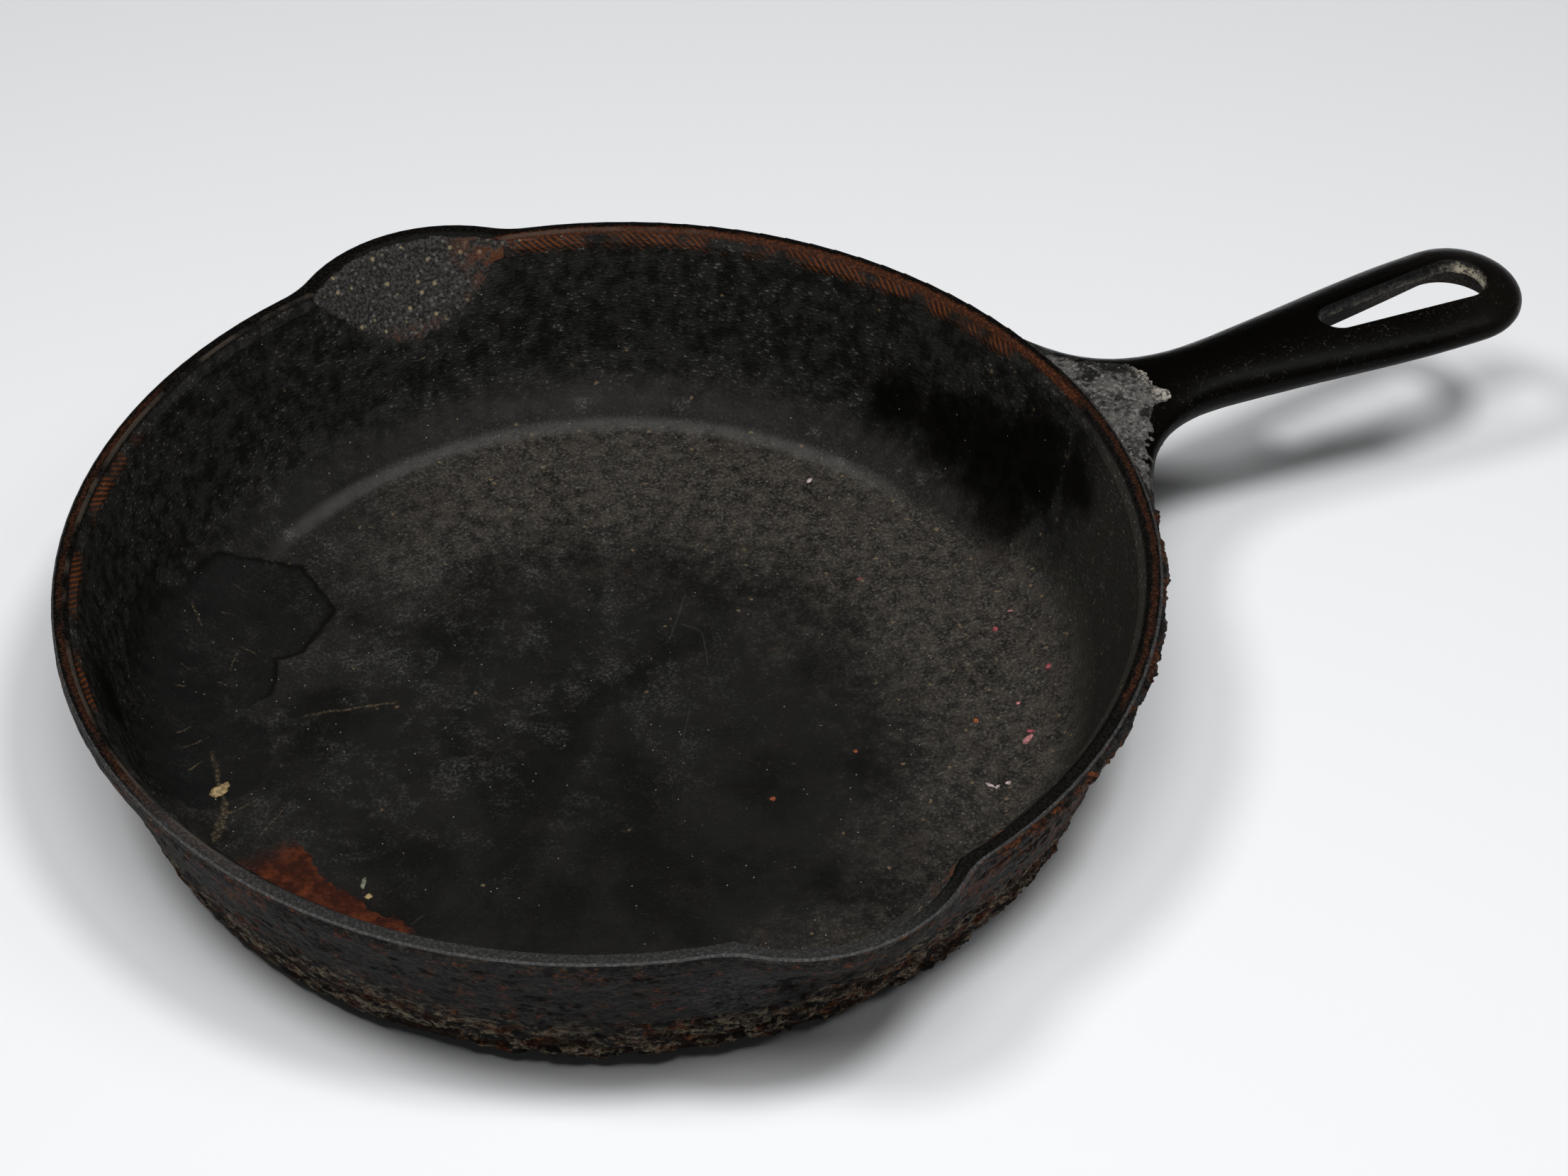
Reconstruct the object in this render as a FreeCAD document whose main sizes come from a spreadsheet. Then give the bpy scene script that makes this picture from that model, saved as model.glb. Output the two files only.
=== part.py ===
import FreeCAD, Part
import math
import os
import Sketcher

# Cast iron skillet, in millimetres, +Z up. The origin is on the pan's axis, on the plane it rests on,
# and the handle runs along +X. The two pour lips stand at +Y (rear) and -Y (front).

DIMENSIONS = {
    # Pan, measured from the axis and from the resting plane
    "pan_height": 50.5,
    "rim_radius": 133.5,
    "rim_inner_radius": 130.3,
    "rim_edge_round": 0.7,
    "rim_inner_round": 0.5,
    "band_depth": 4.5,
    "band_underside": 46.0,
    "band_edge_round": 0.8,
    "wall_top_radius": 131.3,
    "wall_foot_radius": 117.4,
    "foot_round": 10.0,
    "floor_height": 4.2,
    "inside_foot_radius": 114.8,
    "inside_top_radius": 127.8,
    "inside_top_height": 47.5,
    "cove_round": 20.0,
    # Pour lips: leaning scoops, each run from a circle at the rim to a smaller one lower down
    "lip_centre": 101.6,
    "lip_band_radius": 41.0,
    "lip_shoulder_round": 24.0,
    "lip_top_radius": 39.6,
    "lip_foot_height": 24.5,
    "lip_foot_centre": 100.0,
    "lip_foot_radius": 24.0,
    "lip_root_round": 16.0,
    "scoop_top_radius": 38.0,
    "scoop_foot_centre": 98.8,
    "scoop_foot_radius": 21.0,
    "scoop_edge_round": 9.0,
    # Handle end, hanging eye and the hollow under the handle
    "end_centre": 243.0,
    "end_radius": 18.2,
    "end_middle": 45.2,
    "end_half_depth": 7.0,
    "eye_narrow_centre": 207.3,
    "eye_narrow_radius": 5.2,
    "eye_wide_centre": 243.3,
    "eye_wide_radius": 8.4,
    "eye_bevel_foot": 50.6,
    "eye_bevel_top": 52.6,
    "eye_bevel_narrow_radius": 6.8,
    "eye_bevel_wide_radius": 10.0,
    "hollow_narrow_centre": 182.0,
    "hollow_narrow_radius": 5.5,
    "hollow_wide_centre": 242.0,
    "hollow_wide_radius": 12.6,
    "hollow_roof": 46.0,
    "hollow_roof_round": 3.0,
    # Crust on the outer wall: its outer face, then its inner corners, which lie inside the iron
    "crust_top": 45.5,
    "crust_top_radius": 132.5,
    "crust_belly": 7.5,
    "crust_belly_radius": 121.0,
    "crust_knee": 3.2,
    "crust_knee_radius": 118.6,
    "crust_hem": 0.9,
    "crust_hem_radius": 115.2,
    "crust_back_top_radius": 129.4,
    "crust_back_belly": 6.0,
    "crust_back_belly_radius": 115.5,
    "crust_back_hem_radius": 112.5,
    "crust_lip_top_radius": 40.8,
    "crust_lip_foot_radius": 25.2,
    # Deposits in the scoops, on the handle root and in the eye
    "scoop_crust_top_radius": 37.3,
    "scoop_crust_foot_radius": 20.3,
    "root_crust_lift": 1.2,
    "root_crust_centre": 126.0,
    "root_crust_radius": 25.0,
    "root_crust_floor": 47.0,
    "root_crust_depth": 8.0,
    "eye_crust_foot": 46.4,
    "eye_crust_depth": 4.0,
    "eye_crust_narrow_radius": 4.6,
    "eye_crust_wide_radius": 7.6,
}

# Cross-sections of the handle: distance from the pan's axis, half width, top and underside.
# The first lies inside the wall, the next four make the web that narrows to the neck.
HANDLE_SECTIONS = [
    (119.0, 49.0, 49.6, 40.6),
    (132.0, 35.0, 49.9, 40.2),
    (140.0, 22.3, 50.6, 39.4),
    (149.0, 14.9, 51.4, 38.8),
    (161.0, 11.2, 51.9, 38.4),
    (176.0, 11.7, 52.1, 38.2),
    (192.0, 13.5, 52.2, 38.2),
    (209.0, 15.7, 52.2, 38.2),
    (226.0, 17.5, 52.2, 38.2),
    (234.5, 18.0, 52.2, 38.2),
    (243.0, 18.2, 52.2, 38.2),
]
SECTION_FIELDS = ("station", "half_width", "top", "underside")
ROOT_SECTIONS = 5

# Dried crumbs stuck to the floor: position along X and Y, and half length, width and height
CRUMBS = [
    (-100.5, 11.0, 2.4, 2.0, 1.2),
    (-81.0, -37.5, 1.2, 1.0, 0.6),
    (84.0, -60.6, 1.8, 1.0, 0.7),
    (68.2, -70.2, 1.2, 0.9, 0.5),
    (88.3, -48.1, 1.0, 0.8, 0.5),
]
CRUMB_FIELDS = ("along", "across", "half_length", "half_width", "half_height")

LIPS = (("rear", 1), ("front", -1))
UPRIGHT = FreeCAD.Vector(0, 0, 1)
SAME = 0.01

doc = FreeCAD.newDocument("skillet")
dims = doc.addObject("Spreadsheet::Sheet", "dims")


def write_cell(row, name, number):
    """Write one named number to the sheet."""
    dims.set(f"A{row}", name)
    dims.set(f"B{row}", str(number))
    dims.setAlias(f"B{row}", name)


def fill_sheet():
    """Write every driving dimension to the sheet, with the tables flattened to numbered names."""
    cells = list(DIMENSIONS.items())
    for group, fields, table in (("handle", SECTION_FIELDS, HANDLE_SECTIONS), ("crumb", CRUMB_FIELDS, CRUMBS)):
        for index, line in enumerate(table):
            for field, number in zip(fields, line):
                cells.append((f"{group}_{field}_{index}", number))
    for row, (name, number) in enumerate(cells, start=1):
        write_cell(row, name, number)
    doc.recompute()


def cell(name):
    """Return the number in a named cell."""
    return float(dims.get(name))


def new_body(name):
    """Make an empty body."""
    body = doc.addObject("PartDesign::Body", name)
    body.Label = name
    return body


def origin_plane(body, role):
    """Find one of the body's own origin planes."""
    return [feature for feature in body.Origin.OriginFeatures if feature.Role == role][0]


def new_sketch(body, name, role, level=None):
    """Add a sketch on one of the body's origin planes, raised along its normal to a level."""
    sketch = body.newObject("Sketcher::SketchObject", name)
    sketch.AttachmentSupport = [(origin_plane(body, role), "")]
    sketch.MapMode = "FlatFace"
    if level:
        sketch.setExpression("AttachmentOffset.Base.z", f"dims.{level}")
    return sketch


def limit(sketch, kind, geometry, number, formula):
    """Add a dimension to a sketch and tie it to the sheet by a formula."""
    index = sketch.addConstraint(Sketcher.Constraint(kind, *geometry, number))
    sketch.setExpression(f"Constraints[{index}]", formula)


def place_point(sketch, geometry, position, across, up):
    """Fix a point of a sketch by two cell names; None puts it on the matching axis."""
    for name, kind, axis in ((across, "DistanceX", -2), (up, "DistanceY", -1)):
        if name:
            limit(sketch, kind, (-1, 1, geometry, position), cell(name), f"dims.{name}")
        else:
            sketch.addConstraint(Sketcher.Constraint("PointOnObject", geometry, position, axis))


def polygon(body, name, corners):
    """Draw a closed outline on the XZ plane through corners given as pairs of cell names."""
    sketch = new_sketch(body, name, "XZ_Plane")
    points = []
    for across, up in corners:
        points.append(FreeCAD.Vector(cell(across) if across else 0, cell(up) if up else 0, 0))
    count = len(points)
    for index in range(count):
        sketch.addGeometry(Part.LineSegment(points[index], points[(index + 1) % count]))
    for index in range(count):
        sketch.addConstraint(Sketcher.Constraint("Coincident", index, 2, (index + 1) % count, 1))
    for index, (across, up) in enumerate(corners):
        place_point(sketch, index, 1, across, up)
    return sketch


def circle(body, name, level, radius, across=None, along=None, side=1):
    """Draw a circle at a level, with its centre on the Y axis (times side) or on the X axis."""
    sketch = new_sketch(body, name, "XY_Plane", level)
    centre = FreeCAD.Vector(cell(along) if along else 0, side * cell(across) if across else 0, 0)
    sketch.addGeometry(Part.Circle(centre, UPRIGHT, cell(radius)))
    limit(sketch, "Radius", (0,), cell(radius), f"dims.{radius}")
    if across:
        sketch.addConstraint(Sketcher.Constraint("PointOnObject", 0, 3, -2))
        limit(sketch, "DistanceY", (-1, 1, 0, 3), centre.y, f"{side} * dims.{across}")
    else:
        place_point(sketch, 0, 3, along, None)
    return sketch


def ellipse(body, name, index, lift=None):
    """Draw one elliptical cross-section of the handle at its station, thickened by a lift if given."""
    sketch = new_sketch(body, name, "YZ_Plane", f"handle_station_{index}")
    extra = cell(lift) if lift else 0
    extra_formula = f"2 * dims.{lift}" if lift else "0"
    half_width = cell(f"handle_half_width_{index}") + extra
    top = f"handle_top_{index}"
    underside = f"handle_underside_{index}"
    middle = (cell(top) + cell(underside)) / 2
    half_depth = (cell(top) - cell(underside)) / 2 + extra
    centre = FreeCAD.Vector(0, middle, 0)
    side_point = FreeCAD.Vector(half_width, middle, 0)
    top_point = FreeCAD.Vector(0, middle + half_depth, 0)
    sketch.addGeometry(Part.Ellipse(side_point, top_point, centre))
    sketch.exposeInternalGeometry(0)
    sketch.addConstraint(Sketcher.Constraint("Horizontal", 1))
    sketch.addConstraint(Sketcher.Constraint("PointOnObject", 0, 3, -2))
    limit(sketch, "DistanceY", (-1, 1, 0, 3), middle, f"(dims.{top} + dims.{underside}) / 2")
    limit(sketch, "Distance", (1,), 2 * half_width, f"2 * dims.handle_half_width_{index} + {extra_formula}")
    limit(sketch, "Distance", (2,), 2 * half_depth, f"dims.{top} - dims.{underside} + {extra_formula}")
    return sketch


def teardrop(sketch, narrow_centre, narrow_radius, wide_centre, wide_radius):
    """Draw a teardrop along the X axis: two round ends joined by their outer tangents."""
    first = sketch.GeometryCount
    start = FreeCAD.Vector(cell(narrow_centre), 0, 0)
    finish = FreeCAD.Vector(cell(wide_centre), 0, 0)
    small = cell(narrow_radius)
    large = cell(wide_radius)
    lean = math.acos((small - large) / (finish.x - start.x))
    rear = FreeCAD.Vector(math.cos(lean), math.sin(lean), 0)
    front = FreeCAD.Vector(rear.x, -rear.y, 0)
    sketch.addGeometry(Part.ArcOfCircle(Part.Circle(start, UPRIGHT, small), lean, 2 * math.pi - lean))
    sketch.addGeometry(Part.LineSegment(start + front * small, finish + front * large))
    sketch.addGeometry(Part.ArcOfCircle(Part.Circle(finish, UPRIGHT, large), -lean, lean))
    sketch.addGeometry(Part.LineSegment(finish + rear * large, start + rear * small))
    for geometry, position, other, other_position in ((0, 2, 1, 1), (1, 2, 2, 1), (2, 2, 3, 1), (3, 2, 0, 1)):
        pair = (first + geometry, position, first + other, other_position)
        sketch.addConstraint(Sketcher.Constraint("Tangent", *pair))
    for geometry, centre, radius in ((first, narrow_centre, narrow_radius), (first + 2, wide_centre, wide_radius)):
        limit(sketch, "Radius", (geometry,), cell(radius), f"dims.{radius}")
        place_point(sketch, geometry, 3, centre, None)


def eye_teardrop(body, name, level, narrow_radius, wide_radius):
    """Draw a teardrop round the eye's two centres at a level."""
    sketch = new_sketch(body, name, "XY_Plane", level)
    teardrop(sketch, "eye_narrow_centre", narrow_radius, "eye_wide_centre", wide_radius)
    return sketch


def turn(body, kind, name, sketch):
    """Turn a sketch once round the pan's axis, as a Revolution or a Groove."""
    feature = body.newObject(f"PartDesign::{kind}", name)
    feature.Profile = sketch
    feature.ReferenceAxis = (sketch, ["V_Axis"])
    feature.Angle = 360.0


def loft(body, kind, name, sections):
    """Run a smooth AdditiveLoft or SubtractiveLoft through the sections in order."""
    feature = body.newObject(f"PartDesign::{kind}", name)
    feature.Profile = sections[0]
    feature.Sections = sections[1:]


def pad(body, name, sketch, depth):
    """Raise a sketch straight up by the depth in a cell."""
    feature = body.newObject("PartDesign::Pad", name)
    feature.Profile = sketch
    feature.setExpression("Length", f"dims.{depth}")


def cut_upwards(body, name, sketch, depth=None):
    """Cut a sketch straight up, by the depth in a cell or right through."""
    before = body.Shape.Volume
    feature = body.newObject("PartDesign::Pocket", name)
    feature.Profile = sketch
    feature.Reversed = True
    if depth:
        feature.setExpression("Length", f"dims.{depth}")
    else:
        feature.Type = "ThroughAll"
    doc.recompute()
    if body.Shape.Volume >= before:
        raise RuntimeError(f"{name} cuts nothing")


def round_edges(body, name, radius, wanted):
    """Round the edges of the body's last shape that pass the test."""
    doc.recompute()
    base = body.Tip
    names = []
    for index, edge in enumerate(base.Shape.Edges, start=1):
        if wanted(edge):
            names.append(f"Edge{index}")
    feature = body.newObject("PartDesign::Fillet", name)
    feature.Base = (base, names)
    feature.setExpression("Radius", f"dims.{radius}")
    doc.recompute()


def flat_at(edge, level):
    """Tell whether an edge lies in the horizontal plane at a level."""
    box = edge.BoundBox
    return abs(box.ZMin - level) < SAME and abs(box.ZMax - level) < SAME


def reach(edge):
    """Return the furthest that an edge's ends lie from the pan's axis."""
    return max(math.hypot(vertex.X, vertex.Y) for vertex in edge.Vertexes)


def boolean(kind, name, base, tool):
    """Make a Part::Cut or Part::Common of two objects."""
    feature = doc.addObject(f"Part::{kind}", name)
    feature.Label = name
    feature.Base = base
    feature.Tool = tool
    return feature


def scoop(body, kind, word, side, levels, centres, radii):
    """Run one pour lip's scoop from the circle at the upper level to the one at the lower level."""
    sections = []
    for place, level, centre, radius in zip(("top", "foot"), levels, centres, radii):
        sections.append(circle(body, f"{word}_{kind}_{place}", level, radius, across=centre, side=side))
    loft(body, kind, f"{word}_{kind}", sections)


def make_outer_form():
    """The iron's outer form, not yet hollowed out: wall, rim band, lips and handle."""
    body = new_body("outer_form")
    wall = polygon(body, "wall_outline", [
        (None, None),
        ("wall_foot_radius", None),
        ("wall_top_radius", "band_underside"),
        (None, "band_underside"),
    ])
    turn(body, "Revolution", "wall", wall)
    pad(body, "band", circle(body, "band_outline", "band_underside", "rim_radius"), "band_depth")
    for word, side in LIPS:
        outline = circle(body, f"{word}_band_outline", "band_underside", "lip_band_radius",
                         across="lip_centre", side=side)
        pad(body, f"{word}_band", outline, "band_depth")
        scoop(body, "AdditiveLoft", word, side, ("band_underside", "lip_foot_height"),
              ("lip_centre", "lip_foot_centre"), ("lip_top_radius", "lip_foot_radius"))
    round_pan_form(body)
    add_handle(body)
    return body


def round_pan_form(body):
    """Blend the lips into the rim and the wall, and soften the foot and the band."""
    rim = cell("pan_height")
    underside = cell("band_underside")
    wall = cell("wall_top_radius") + SAME
    round_edges(body, "band_shoulders", "lip_shoulder_round",
                lambda edge: edge.BoundBox.XLength < SAME and edge.BoundBox.ZMax > rim - SAME)
    round_edges(body, "lip_roots", "lip_root_round",
                lambda edge: edge.Curve.TypeId == "Part::GeomBSplineCurve" and edge.BoundBox.ZMax < rim - 1
                and not flat_at(edge, underside))
    round_edges(body, "foot", "foot_round", lambda edge: flat_at(edge, 0))
    round_edges(body, "rim_edge", "rim_edge_round", lambda edge: flat_at(edge, rim))
    round_edges(body, "band_edge", "band_edge_round",
                lambda edge: flat_at(edge, underside) and reach(edge) > wall)


def add_handle(body):
    """Add the handle with its round end, cut its underside hollow and pierce the hanging eye."""
    sections = []
    for index in range(len(HANDLE_SECTIONS)):
        sections.append(ellipse(body, f"handle_section_{index}", index))
    loft(body, "AdditiveLoft", "handle", sections)
    tip = body.newObject("PartDesign::AdditiveEllipsoid", "handle_end")
    tip.AttachmentSupport = [(origin_plane(body, "XY_Plane"), "")]
    tip.MapMode = "FlatFace"
    tip.AttachmentOffset = FreeCAD.Placement(FreeCAD.Vector(), FreeCAD.Rotation(UPRIGHT, -90))
    tip.Angle3 = 180.0
    tip.Radius3 = 0.0
    tip.setExpression("Radius1", "dims.end_half_depth")
    tip.setExpression("Radius2", "dims.end_radius")
    tip.setExpression("AttachmentOffset.Base.x", "dims.end_centre")
    tip.setExpression("AttachmentOffset.Base.z", "dims.end_middle")
    hollow = new_sketch(body, "hollow_outline", "XY_Plane")
    teardrop(hollow, "hollow_narrow_centre", "hollow_narrow_radius", "hollow_wide_centre", "hollow_wide_radius")
    doc.recompute()
    cut_upwards(body, "handle_hollow", hollow, "hollow_roof")
    roof = cell("hollow_roof")
    neck = cell("handle_station_4")
    round_edges(body, "hollow_roof_edge", "hollow_roof_round",
                lambda edge: flat_at(edge, roof) and edge.BoundBox.XMin > neck)
    eye = eye_teardrop(body, "eye_outline", None, "eye_narrow_radius", "eye_wide_radius")
    cut_upwards(body, "eye", eye)
    bevel_foot = eye_teardrop(body, "bevel_foot", "eye_bevel_foot", "eye_narrow_radius", "eye_wide_radius")
    bevel_top = eye_teardrop(body, "bevel_top", "eye_bevel_top", "eye_bevel_narrow_radius",
                             "eye_bevel_wide_radius")
    loft(body, "SubtractiveLoft", "eye_bevel", [bevel_foot, bevel_top])


def inside_outline(body):
    """Draw the half outline of the pan's inside: flat floor, flared wall and bevelled inner rim."""
    return polygon(body, "inside_outline", [
        (None, "floor_height"),
        ("inside_foot_radius", "floor_height"),
        ("inside_top_radius", "inside_top_height"),
        ("rim_inner_radius", "pan_height"),
        (None, "pan_height"),
    ])


def make_casting(form):
    """The whole iron casting: the outer form with the pan and the two scoops hollowed out."""
    body = new_body("skillet_casting")
    body.BaseFeature = form
    turn(body, "Groove", "inside", inside_outline(body))
    for word, side in LIPS:
        scoop(body, "SubtractiveLoft", word, side, ("pan_height", "lip_foot_height"),
              ("lip_centre", "scoop_foot_centre"), ("scoop_top_radius", "scoop_foot_radius"))
    rim = cell("pan_height")
    floor = cell("floor_height")
    inner_rim = cell("rim_inner_radius") + SAME
    foot = cell("lip_foot_height")
    neck = cell("wall_top_radius")
    round_edges(body, "scoop_edges", "scoop_edge_round",
                lambda edge: edge.Curve.TypeId == "Part::GeomBSplineCurve" and edge.BoundBox.ZMin > foot
                and edge.BoundBox.ZLength > 10 and edge.BoundBox.XMax < neck and reach(edge) < inner_rim)
    round_edges(body, "cove", "cove_round", lambda edge: flat_at(edge, floor))
    round_edges(body, "rim_inner_edge", "rim_inner_round",
                lambda edge: flat_at(edge, rim) and reach(edge) < inner_rim)
    return body


def make_outer_wall_crust(form):
    """The burnt skin on the outer wall, from under the rim band to just above the resting plane."""
    blank = new_body("outer_wall_crust_blank")
    ring = polygon(blank, "ring_outline", [
        ("crust_back_top_radius", "crust_top"),
        ("crust_top_radius", "crust_top"),
        ("crust_belly_radius", "crust_belly"),
        ("crust_knee_radius", "crust_knee"),
        ("crust_hem_radius", "crust_hem"),
        ("crust_back_hem_radius", "crust_hem"),
        ("crust_back_belly_radius", "crust_back_belly"),
    ])
    turn(blank, "Revolution", "ring", ring)
    for word, side in LIPS:
        scoop(blank, "AdditiveLoft", word, side, ("crust_top", "lip_foot_height"),
              ("lip_centre", "lip_foot_centre"), ("crust_lip_top_radius", "crust_lip_foot_radius"))
    return boolean("Cut", "outer_wall_crust", blank, form)


def make_scoop_crust(word, side):
    """The thin granular deposit that lines one pour lip's scoop."""
    body = new_body(f"{word}_lip_crust")
    levels = ("pan_height", "lip_foot_height")
    centres = ("lip_centre", "scoop_foot_centre")
    scoop(body, "AdditiveLoft", word, side, levels, centres, ("scoop_top_radius", "scoop_foot_radius"))
    scoop(body, "SubtractiveLoft", word, side, levels, centres,
          ("scoop_crust_top_radius", "scoop_crust_foot_radius"))
    turn(body, "Groove", "inside", inside_outline(body))
    return body


def make_handle_root_crust(form):
    """The ashy deposit on top of the handle root, outside the rim."""
    skin = new_body("handle_root_skin")
    sections = []
    for index in range(ROOT_SECTIONS):
        sections.append(ellipse(skin, f"skin_section_{index}", index, "root_crust_lift"))
    loft(skin, "AdditiveLoft", "skin", sections)
    patch = new_body("handle_root_patch")
    outline = circle(patch, "patch_outline", "root_crust_floor", "root_crust_radius", along="root_crust_centre")
    pad(patch, "patch", outline, "root_crust_depth")
    doc.recompute()
    cut_upwards(patch, "rim_side", circle(patch, "rim_side_outline", None, "rim_radius"))
    blank = boolean("Common", "handle_root_crust_blank", skin, patch)
    return boolean("Cut", "handle_root_crust", blank, form)


def make_hanging_eye_crust():
    """The grey residue that lines the hanging eye, as a thin teardrop sleeve."""
    body = new_body("hanging_eye_crust")
    outline = eye_teardrop(body, "sleeve_outline", "eye_crust_foot", "eye_narrow_radius", "eye_wide_radius")
    teardrop(outline, "eye_narrow_centre", "eye_crust_narrow_radius", "eye_wide_centre", "eye_crust_wide_radius")
    pad(body, "sleeve", outline, "eye_crust_depth")
    return body


def make_floor_crumbs(casting):
    """Dried crumbs stuck to the floor: flat ellipsoids with the iron taken out of them."""
    crumbs = []
    for index in range(len(CRUMBS)):
        crumb = doc.addObject("Part::Ellipsoid", f"crumb_{index}")
        crumb.setExpression("Radius1", f"dims.crumb_half_height_{index}")
        crumb.setExpression("Radius2", f"dims.crumb_half_length_{index}")
        crumb.setExpression("Radius3", f"dims.crumb_half_width_{index}")
        crumb.setExpression("Placement.Base.x", f"dims.crumb_along_{index}")
        crumb.setExpression("Placement.Base.y", f"dims.crumb_across_{index}")
        crumb.setExpression("Placement.Base.z", f"dims.floor_height + dims.crumb_half_height_{index} / 2")
        crumbs.append(crumb)
    blank = doc.addObject("Part::MultiFuse", "crumbs_blank")
    blank.Shapes = crumbs
    return boolean("Cut", "floor_crumbs", blank, casting)


def check_document(parts):
    """Stop if any object failed or any part's shape is missing or broken."""
    doc.recompute()
    for thing in doc.Objects:
        if "Invalid" in thing.State or "Error" in thing.State:
            raise RuntimeError(f"{thing.Label} failed: {thing.getStatusString()}")
    for part in parts:
        if part.Shape.isNull() or not part.Shape.isValid() or not part.Shape.Solids:
            raise RuntimeError(f"{part.Label} has no valid solid")


fill_sheet()
outer_form = make_outer_form()
skillet_casting = make_casting(outer_form)
skillet_parts = [skillet_casting, make_outer_wall_crust(outer_form)]
for lip_word, lip_side in LIPS:
    skillet_parts.append(make_scoop_crust(lip_word, lip_side))
skillet_parts.append(make_handle_root_crust(outer_form))
skillet_parts.append(make_hanging_eye_crust())
skillet_parts.append(make_floor_crumbs(skillet_casting))
check_document(skillet_parts)

os.makedirs("parts", exist_ok=True)
for skillet_part in skillet_parts:
    skillet_part.Shape.exportStep(f"parts/{skillet_part.Label}.step")
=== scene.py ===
import math
import random

import bpy
from mathutils import Matrix, Vector, noise
from mathutils.bvhtree import BVHTree


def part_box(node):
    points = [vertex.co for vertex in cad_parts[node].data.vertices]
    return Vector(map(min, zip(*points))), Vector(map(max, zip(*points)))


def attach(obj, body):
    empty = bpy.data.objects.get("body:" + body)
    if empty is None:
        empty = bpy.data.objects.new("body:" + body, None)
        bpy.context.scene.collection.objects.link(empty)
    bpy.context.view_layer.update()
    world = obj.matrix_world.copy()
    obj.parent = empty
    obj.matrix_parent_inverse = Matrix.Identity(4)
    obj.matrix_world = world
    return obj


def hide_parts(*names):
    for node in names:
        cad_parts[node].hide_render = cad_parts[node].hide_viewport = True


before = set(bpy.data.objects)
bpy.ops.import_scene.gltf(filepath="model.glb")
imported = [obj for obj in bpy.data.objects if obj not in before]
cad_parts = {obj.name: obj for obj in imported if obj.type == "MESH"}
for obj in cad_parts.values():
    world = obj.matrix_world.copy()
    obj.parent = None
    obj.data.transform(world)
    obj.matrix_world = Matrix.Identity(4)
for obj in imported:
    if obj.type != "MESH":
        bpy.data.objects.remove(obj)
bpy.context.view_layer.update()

# Lengths in this script are millimetres in the part's frame, turned to metres where a mesh is made.
MM = 0.001

# Camera and lights
CAMERA_AZIMUTH = -26.4076
CAMERA_ELEVATION = 42.246
CAMERA_DISTANCE = 943.3
CAMERA_LENS = 89.77
AIM_HEIGHT = 50.5
AIM_RIGHT = 42.2
AIM_UP = -8.17

# Pan
RIM_HEIGHT = 50.5
RIM_RADIUS = 133.5
WALL_FOOT_RADIUS = 117.4
WALL_FLARE = 0.3022
HANDLE_SECTOR = math.radians(17)
OUTSIDE_RADIUS = 170.0

# Colours, linear
BLACK_IRON = (0.0060, 0.0058, 0.0050)
CLOUDY_IRON = (0.0180, 0.0175, 0.0155)
DUSTY_IRON = (0.0280, 0.0268, 0.0225)
FLOOR_IRON = (0.0056, 0.0054, 0.0049)
WORN_FLOOR = (0.0105, 0.0103, 0.0095)
FLOOR_DUST = (0.0600, 0.0525, 0.0435)
OIL_FILM = (0.0062, 0.0063, 0.0064)
HANDLE_BLACK = (0.0016, 0.0014, 0.0010)
BROWNED_HANDLE = (0.0050, 0.0040, 0.0032)
RIM_IRON = (0.0160, 0.0150, 0.0140)
WORN_RIM = (0.0480, 0.0470, 0.0460)
TAN_RIM_EDGE = (0.0750, 0.0580, 0.0450)
PAINTED_RIM_HIGHLIGHT = (0.1100, 0.1080, 0.1080)
GREY_GRIT = (0.1150, 0.1120, 0.1000)
TAN_GRIT = (0.1700, 0.1250, 0.0700)
PALE_BLOOM = (0.0850, 0.0830, 0.0790)
RUST = (0.1150, 0.0330, 0.0095)
DARK_RUST = (0.0330, 0.0115, 0.0060)
REDDISH = (0.0180, 0.0110, 0.0085)
PATCH_DARK = (0.0260, 0.0075, 0.0045)
PATCH_RUST = (0.0920, 0.0230, 0.0085)
SPARKLE = (0.3200, 0.3100, 0.2800)
CRUST_DARK = (0.0042, 0.0040, 0.0039)
CRUST_GREY = (0.0130, 0.0127, 0.0127)
CRUST_GLINT = (0.0520, 0.0500, 0.0490)
FLAKE_DARK = (0.0500, 0.0380, 0.0260)
FLAKE_TAN = (0.2700, 0.2150, 0.1450)
STAIN_DARK = (0.0190, 0.0078, 0.0042)
STAIN_RUST = (0.1350, 0.0400, 0.0115)
POCK_BROWN = (0.0070, 0.0040, 0.0030)
PIT_BROWN_AND_SHADE = (0.0075, 0.0040, 0.0027)
CRUST_PAINTED_HIGHLIGHT = (0.0700, 0.0720, 0.0780)
PAINTED_HEM_SHADE = (0.0016, 0.0014, 0.0012)
ASH_DARK = (0.0140, 0.0130, 0.0120)
ASH_GREY = (0.0850, 0.0800, 0.0740)
ASH_LIGHT = (0.1900, 0.1850, 0.1750)
ASH_GAP = (0.0070, 0.0060, 0.0050)
BARE_IRON = (0.0030, 0.0030, 0.0020)
ASH_GRAIN = (0.1100, 0.1050, 0.0950)
ASH_CREAM = (0.3800, 0.3500, 0.3000)
UNDER_EYE_GREY = (0.0600, 0.0550, 0.0470)
RESIDUE_DARK = (0.0100, 0.0090, 0.0080)
RESIDUE_BEIGE = (0.1250, 0.1130, 0.0920)
RESIDUE_WHITE = (0.4800, 0.4300, 0.3300)
SCOOP_DARK = (0.0085, 0.0080, 0.0075)
SCOOP_GREY = (0.0520, 0.0500, 0.0460)
SCOOP_TAN = (0.2600, 0.2100, 0.1200)

# How strongly each surface mirrors, as the shader's specular level
IRON_SPECULAR = 0.06
CRUST_SPECULAR = 0.08
DEPOSIT_SPECULAR = 0.2
CRUMB_SPECULAR = 0.3


def link(thing):
    """Put an object in the scene."""
    bpy.context.scene.collection.objects.link(thing)
    return thing


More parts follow.
